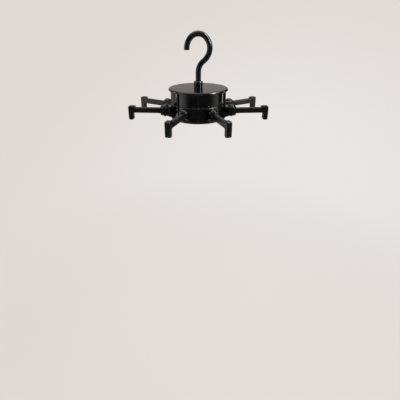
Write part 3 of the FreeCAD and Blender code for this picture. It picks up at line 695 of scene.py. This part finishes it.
def pale_sheet():
    """Matt pale paper; far from the object it has an even tone with a painted pool of light for the
    camera, and painted shade, a dimmer tone, in gloss.
    """
    material, n, shader, position = new_material("paper")
    tone = n.ramp(n.noise(position, scale=3.0, detail=3.0, roughness=0.5), 0.3, 0.7)
    n.link(layer(n, PALE, SHADED_PALE, tone), shader.inputs["Base Color"])
    shader.inputs["Roughness"].default_value = 0.9
    shader.inputs["Specular IOR Level"].default_value = 0.1
    level = n.add("ShaderNodeVectorMath", operation="MULTIPLY")
    level.inputs[1].default_value = (1.0, 1.0, 0.0)
    n.link(position, level.inputs[0])
    reach = n.add("ShaderNodeVectorMath", operation="LENGTH")
    n.link(level.outputs["Vector"], reach.inputs[0])
    apart = n.add("ShaderNodeVectorMath", operation="DISTANCE")
    apart.inputs[1].default_value = PAINTED_LIGHT_PLACE
    n.link(position, apart.inputs[0])
    # Painted light: a pool of lighter tone on the far paper, for camera rays only
    painted_light = layer(n, PALE, PAINTED_LIGHT_PALE, n.ramp(apart.outputs["Value"], PAINTED_LIGHT_EDGE, PAINTED_LIGHT_CORE))
    path = n.add("ShaderNodeLightPath")
    paper_glow_and_painted_light = n.add("ShaderNodeEmission")
    # The camera sees the even tone with its painted pool of light; gloss and glass see the painted shade
    # tone
    n.link(layer(n, PAINTED_SHADE_PALE, painted_light, path.outputs["Is Camera Ray"]), paper_glow_and_painted_light.inputs["Color"])
    glow_share = n.ramp(reach.outputs["Value"], NEAR_REACH, FAR_REACH, NEAR_SHARE, 1.0)
    far = n.math("MULTIPLY", glow_share, seen_rays(n))
    mix = n.add("ShaderNodeMixShader")
    n.link(far, mix.inputs["Fac"])
    n.link(shader.outputs["BSDF"], mix.inputs[1])
    n.link(paper_glow_and_painted_light.outputs["Emission"], mix.inputs[2])
    n.link(mix.outputs["Shader"], material.node_tree.nodes["Material Output"].inputs["Surface"])
    return material


def shade_felt():
    """Felt that keeps the room behind the camera out of the gloss as painted shade; grey in front, black
    at the sides.
    """
    material, n, shader, position = new_material("felt")
    tone = n.ramp(n.noise(position, scale=40.0, detail=4.0, roughness=0.6), 0.3, 0.7)
    grey = layer(n, PAINTED_SHADE_GREY, PAINTED_SHADE_LIGHT_GREY, tone)
    split = n.add("ShaderNodeSeparateXYZ")
    n.link(position, split.inputs[0])
    # Painted shade: the grey felt before the camera turns black towards the sides
    side = n.ramp(split.outputs["Y"], FELT_FRONT_Y, FELT_SIDE_Y)
    n.link(layer(n, grey, PAINTED_SHADE_BLACK, side), shader.inputs["Base Color"])
    shader.inputs["Roughness"].default_value = 1.0
    shader.inputs["Specular IOR Level"].default_value = 0.0
    return material


def around(degrees, distance, level):
    """A place round the object: degrees from the camera's side, to the right when positive."""
    turn = math.radians(degrees)
    return Vector((distance * math.sin(turn), -distance * math.cos(turn), level))


def stage_sheet(name, rows, closed, finish):
    """A smooth sheet through equal rows of points, set up as part of the stage."""
    count = len(rows[0])
    points = [point for row in rows for point in row]
    faces = []
    last = len(rows) if closed else len(rows) - 1
    for i in range(last):
        here = i * count
        there = (i + 1) % len(rows) * count
        faces += [(here + j, there + j, there + j + 1, here + j + 1) for j in range(count - 1)]
    mesh = bpy.data.meshes.new(name)
    mesh.from_pydata(points, [], faces)
    for face in mesh.polygons:
        face.use_smooth = True
    mesh.materials.append(finish)
    sheet = bpy.data.objects.new(name, mesh)
    bpy.context.scene.collection.objects.link(sheet)
    return sheet


def make_sweep():
    """Round floor that curves up to a wall behind the object and lies flat before it."""
    turn = 1.2
    bend = 1.6
    top = 3.4
    bend_steps = 20
    degree_step = 4
    wall_from = 84.0
    profile = [(0.001, 0.0), (turn / 2, 0.0), (turn, 0.0)]
    for i in range(1, bend_steps + 1):
        angle = math.pi / 2 * i / bend_steps
        profile.append((turn + bend * math.sin(angle), bend * (1.0 - math.cos(angle))))
    profile.append((turn + bend, top))
    rows = []
    for degrees in range(-180, 180, degree_step):
        rise = min(1.0, max(0.0, (abs(degrees) - wall_from) / degree_step))
        row = []
        run = 0.0
        before = profile[0]
        for reach, height in profile:
            run += math.hypot(reach - before[0], height - before[1])
            before = (reach, height)
            row.append(around(degrees, run + (reach - run) * rise, FLOOR_Z + height * rise))
        rows.append(row)
    stage_sheet("paper_sweep", rows, True, pale_sheet())


def make_dark_screen():
    """Dark felt round the camera's side, out of the camera's sight; it is painted shade for the gloss.
    """
    first = -94
    last = 154
    degree_step = 4
    distance = 1.75
    foot = FLOOR_Z + 0.02
    rise = 0.5
    levels = 5
    rows = []
    for degrees in range(first, last + 1, degree_step):
        rows.append([around(degrees, distance, foot + rise * j) for j in range(levels)])
    screen = stage_sheet("dark_screen", rows, False, shade_felt())
    screen.visible_camera = False


EVEN = (0.01, 0.01, 0.01)
FADED_RIGHT = (0.01, 0.85, 0.1)
FADED_LEFT = (0.6, 0.01, 0.1)
FADED_ROUND = (0.5, 0.5, 0.5)


def soft_light(name, place, target, size, power, fade=EVEN, spread=180.0):
    """A soft box of a width and height, aimed at a point.

    Its fade is the share that dims towards its left edge, its right edge, and its top and bottom.
    A spread under 180 degrees narrows its beam, as a grid before the box does.
    """
    data = bpy.data.lights.new(name, "AREA")
    data.shape = "RECTANGLE"
    data.size = size[0]
    data.size_y = size[1]
    data.energy = power
    data.spread = math.radians(spread)
    data.use_nodes = True
    n = Nodes(data.node_tree)
    across = n.add("ShaderNodeSeparateXYZ")
    n.link(n.add("ShaderNodeNewGeometry").outputs["Parametric"], across.inputs[0])
    left, right, ends = fade
    glow = 1.0
    for axis, low, high in (("X", left, right), ("Y", ends, ends)):
        glow = n.math("MULTIPLY", glow, n.ramp(across.outputs[axis], 0.0, low))
        glow = n.math("MULTIPLY", glow, n.ramp(across.outputs[axis], 1.0, 1.0 - high))
    n.link(glow, data.node_tree.nodes["Emission"].inputs["Strength"])
    lamp = bpy.data.objects.new(name, data)
    lamp.location = place
    lamp.rotation_euler = (Vector(target) - Vector(place)).to_track_quat("-Z", "Y").to_euler()
    lamp.visible_camera = False
    bpy.context.scene.collection.objects.link(lamp)


def set_lights():
    """A wide box above, a box and a strip on either side for the drum, and a key for rim and hook."""
    soft_light("top_box", (0.0, 0.9, 2.6), (0.0, 0.9, -1.0), size=(4.0, 3.4), power=44.0)
    soft_light("left_box", around(-61.0, 1.3, -0.15), HUB, size=(0.98, 1.5), power=5.8, fade=FADED_RIGHT)
    soft_light("right_box", around(69.5, 1.3, -0.45), HUB, size=(0.93, 1.0), power=2.0, fade=FADED_LEFT)
    soft_light("left_strip", around(-99.5, 1.6, -0.15), HUB, size=(0.28, 1.5), power=2.4)
    soft_light("right_strip", around(116.5, 1.6, -0.15), HUB, size=(0.22, 1.5), power=2.0)
    key = {"fade": FADED_ROUND, "spread": 100.0}
    soft_light("key_strip", around(61.0, 1.4, 0.46), HUB, size=(0.45, 1.0), power=20.0, **key)
    soft_light("key_box", around(80.0, 1.3, 1.35), HUB, size=(1.5, 1.0), power=40.0, **key)


def set_world():
    """Dim room light; seen directly, mirrored or through glass it has the paper's pale tone."""
    world = bpy.data.worlds.new("studio")
    world.use_nodes = True
    bpy.context.scene.world = world
    n = Nodes(world.node_tree)
    room = world.node_tree.nodes["Background"]
    room.inputs["Color"].default_value = ROOM_TINT
    room.inputs["Strength"].default_value = ROOM_STRENGTH
    seen = n.add("ShaderNodeBackground")
    seen.inputs["Color"].default_value = PALE
    mix = n.add("ShaderNodeMixShader")
    n.link(seen_rays(n), mix.inputs["Fac"])
    n.link(room.outputs["Background"], mix.inputs[1])
    n.link(seen.outputs["Background"], mix.inputs[2])
    n.link(mix.outputs["Shader"], world.node_tree.nodes["World Output"].inputs["Surface"])


def set_camera():
    """Camera at the photograph's place: slightly above, close, framed as the photograph."""
    focal_px = 281.0
    frame_px = 400.0
    axis_col = 198.3
    axis_row = 140.0
    distance = 0.5755
    height = 0.0065
    tilt = 0.364
    data = bpy.data.cameras.new("camera")
    data.sensor_fit = "HORIZONTAL"
    data.sensor_width = 36.0
    data.lens = focal_px / frame_px * data.sensor_width
    data.shift_x = (frame_px / 2 - axis_col) / frame_px
    data.shift_y = (axis_row - frame_px / 2) / frame_px
    data.clip_start = 0.01
    data.clip_end = 50.0
    camera = bpy.data.objects.new("camera", data)
    camera.location = (0.0, -distance, height)
    camera.rotation_euler = Euler((math.pi / 2 - tilt, 0.0, 0.0))
    bpy.context.scene.collection.objects.link(camera)
    bpy.context.scene.camera = camera


make_sweep()
make_dark_screen()
set_world()
set_lights()
set_camera()
bpy.context.scene.view_settings.view_transform = "Standard"
